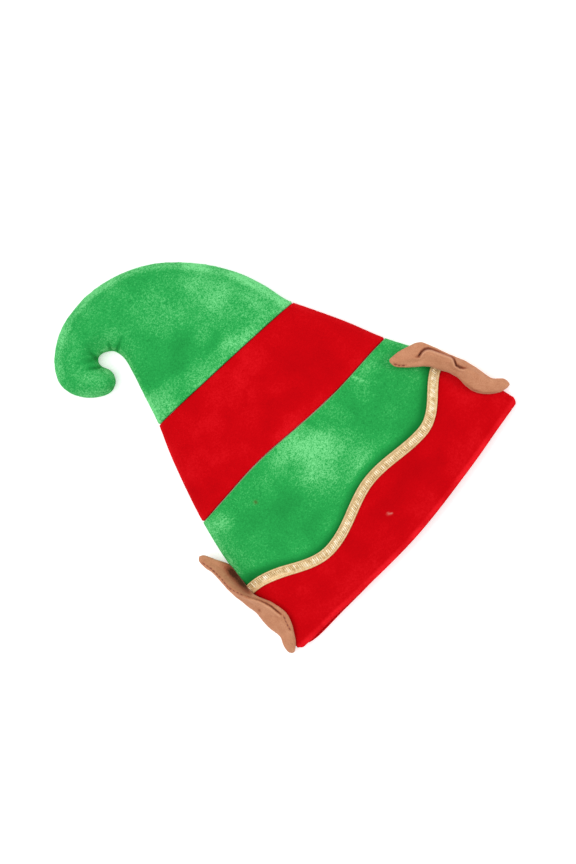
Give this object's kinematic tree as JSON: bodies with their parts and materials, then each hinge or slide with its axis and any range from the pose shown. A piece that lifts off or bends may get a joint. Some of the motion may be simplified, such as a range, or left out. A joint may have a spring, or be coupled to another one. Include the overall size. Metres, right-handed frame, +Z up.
{
  "type": "elf hat",
  "caption": "Soft striped costume hat lying flat, with a curled peak, a wavy hem band under a gold braid, and stuffed ears at the sides.",
  "frame": {"origin": "on the table, under the middle of the hat's box as it lies on its back", "axes": "+Z up through the front panels, +Y from the hem to the peak, +X along the hem towards the ear that leans over the front"},
  "size_m": [0.3046, 0.3556, 0.0397],
  "materials": {
    "red_velour": "short red velour pile",
    "green_velour": "short green velour pile, brushed in patches",
    "gold_braid": "ribbed braid of metallic gold yarn",
    "tan_suede": "tan suede cloth over soft filling"
  },
  "bodies": {
    "root": {"band_front": "red_velour", "band_back": "red_velour", "crown_front": "green_velour", "crown_back": "green_velour", "stripe_front": "red_velour", "stripe_back": "red_velour", "peak_front": "green_velour", "peak_back": "green_velour", "gold_braid": "gold_braid", "ear_left": "tan_suede", "ear_right": "tan_suede"}
  },
  "joints": []
}
